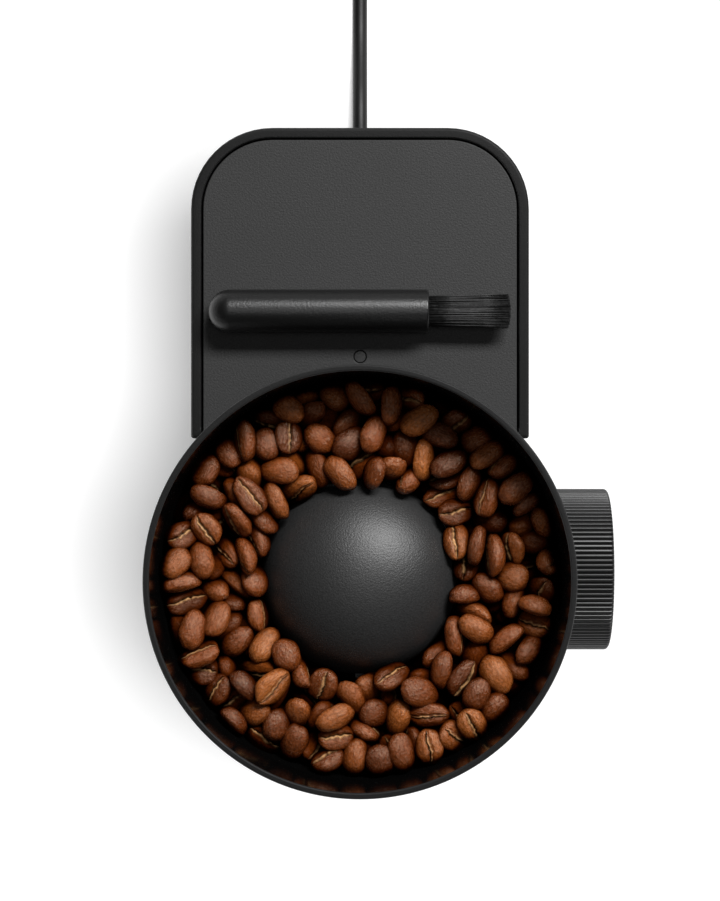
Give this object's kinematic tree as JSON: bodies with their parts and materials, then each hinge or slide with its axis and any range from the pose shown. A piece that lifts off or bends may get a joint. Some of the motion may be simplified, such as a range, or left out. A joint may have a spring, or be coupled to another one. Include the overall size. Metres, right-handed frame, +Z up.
{
  "type": "burr coffee grinder",
  "caption": "Conical burr coffee grinder with an open bean hopper, domed bean guard, side grind knob, catch cup, cleaning brush and mains lead.",
  "frame": {"origin": "on the burr axis, on the flat underside of the foot pad where it meets the table", "axes": "+Z up along the burr axis, +Y to the rear where the tower and the mains lead are, +X to the right where the grind knob is"},
  "size_m": [0.1445, 0.3672, 0.258],
  "materials": {
    "shell_black": "fine matt texture",
    "panel_grey": "fine matt texture",
    "hopper_smoke": "satin outside, gloss inside",
    "dome_satin": "satin",
    "knob_black": "satin ribs",
    "button_grey": "satin",
    "rubber_black": "matt",
    "lead_black": "satin",
    "inner_plastic": "moulded",
    "gear_plastic": "moulded",
    "cast_alloy": "cast",
    "steel": "machined",
    "burr_steel": "ground",
    "bronze": "sintered",
    "board_green": "solder mask",
    "parts_mixed": "moulded",
    "wire_red": "satin",
    "copper": "enamelled",
    "magnet_grey": "ferrite",
    "cup_black": "smoke",
    "bristle": "fine fibres"
  },
  "bodies": {
    "chassis": {"foot_pad": "rubber_black", "bottom_plate": "inner_plastic", "base_shell": "shell_black", "cup_mat": "rubber_black", "base_screws": "steel", "button_spring": "steel", "switch_board": "board_green", "tower_shell": "shell_black", "head_shell": "shell_black", "top_panel": "panel_grey", "index_pip": "rubber_black", "keeper_plate": "steel", "hopper_collar": "inner_plastic", "control_board": "board_green", "board_parts": "parts_mixed", "small_screws": "steel", "wiring": "wire_red", "motor_can": "steel", "motor_end_bell": "inner_plastic", "motor_magnets": "magnet_grey", "carbon_brushes": "magnet_grey", "gear_case": "cast_alloy", "gear_case_cover": "cast_alloy", "idler_pin": "steel", "bearing_races": "steel", "frame_screws": "steel", "grind_housing": "inner_plastic", "wave_spring": "steel", "grounds_chute": "inner_plastic", "knob_bush": "bronze", "strain_relief": "lead_black", "mains_lead": "lead_black", "lead_coil": "lead_black", "mains_plug": "lead_black"},
    "hopper": {"hopper_bowl": "hopper_smoke", "bean_guard": "dome_satin", "hopper_gasket": "rubber_black"},
    "knob": {"grind_knob": "knob_black", "knob_shaft": "steel"},
    "adjuster": {"adjust_ring": "inner_plastic"},
    "carrier": {"ring_carrier": "inner_plastic", "ring_burr": "burr_steel", "ring_burr_screws": "steel"},
    "burr_drive": {"burr_shaft": "steel", "shaft_sleeve": "bronze", "bearing_cores": "steel", "output_gear": "gear_plastic", "sweeper": "gear_plastic", "cone_burr": "burr_steel", "burr_nut": "steel"},
    "idler": {"idler_gear": "gear_plastic", "idler_pinion": "steel"},
    "rotor": {"motor_armature": "copper", "motor_shaft": "steel", "motor_pinion": "bronze"},
    "button": {"start_button": "button_grey"},
    "cup": {"grounds_cup": "cup_black"},
    "brush": {"brush_handle": "knob_black", "brush_tuft": "bristle", "brush_magnet": "steel"}
  },
  "joints": [
    {"name": "hopper_lift", "type": "slide", "parent": "chassis", "child": "hopper", "axis": [0, 0, 1], "range_m": [0, 0.06]},
    {"name": "knob_turn", "type": "hinge", "parent": "chassis", "child": "knob", "pos_m": [0.0545, 0, 0.187], "axis": [1, 0, 0], "range_deg": [-165, 165]},
    {"name": "ring_turn", "type": "hinge", "parent": "chassis", "child": "adjuster", "pos_m": [0, 0, 0.176], "axis": [0, 0, 1], "range_deg": [-27.49, 27.49]},
    {"name": "carrier_lift", "type": "slide", "parent": "chassis", "child": "carrier", "axis": [0, 0, 1], "range_m": [-0.00061, 0.00061], "deforming": ["wave_spring"]},
    {"name": "motor_spin", "type": "hinge", "parent": "chassis", "child": "rotor", "pos_m": [0, 0.065, 0.09], "axis": [0, 0, 1], "continuous": true},
    {"name": "idler_spin", "type": "hinge", "parent": "chassis", "child": "idler", "pos_m": [0, 0.034, 0.14], "axis": [0, 0, 1], "continuous": true},
    {"name": "burr_spin", "type": "hinge", "parent": "chassis", "child": "burr_drive", "pos_m": [0, 0, 0.15], "axis": [0, 0, 1], "continuous": true},
    {"name": "button_press", "type": "slide", "parent": "chassis", "child": "button", "axis": [0, 1, 0], "range_m": [0, 0.002], "stiffness_N_per_m": 450, "springref_m": -0.001, "deforming": ["button_spring"]},
    {"name": "cup_slide", "type": "slide", "parent": "chassis", "child": "cup", "axis": [0, -1, 0], "range_m": [0, 0.12]},
    {"name": "brush_lift", "type": "slide", "parent": "chassis", "child": "brush", "axis": [0, 0, 1], "range_m": [0, 0.06]}
  ],
  "couplings": [
    {"joint": "knob_turn", "follows": "ring_turn", "ratio": 6},
    {"joint": "carrier_lift", "follows": "ring_turn", "m_per_rad": 0.0012501},
    {"joint": "idler_spin", "follows": "motor_spin", "ratio": -0.24},
    {"joint": "burr_spin", "follows": "motor_spin", "ratio": 0.062222}
  ]
}
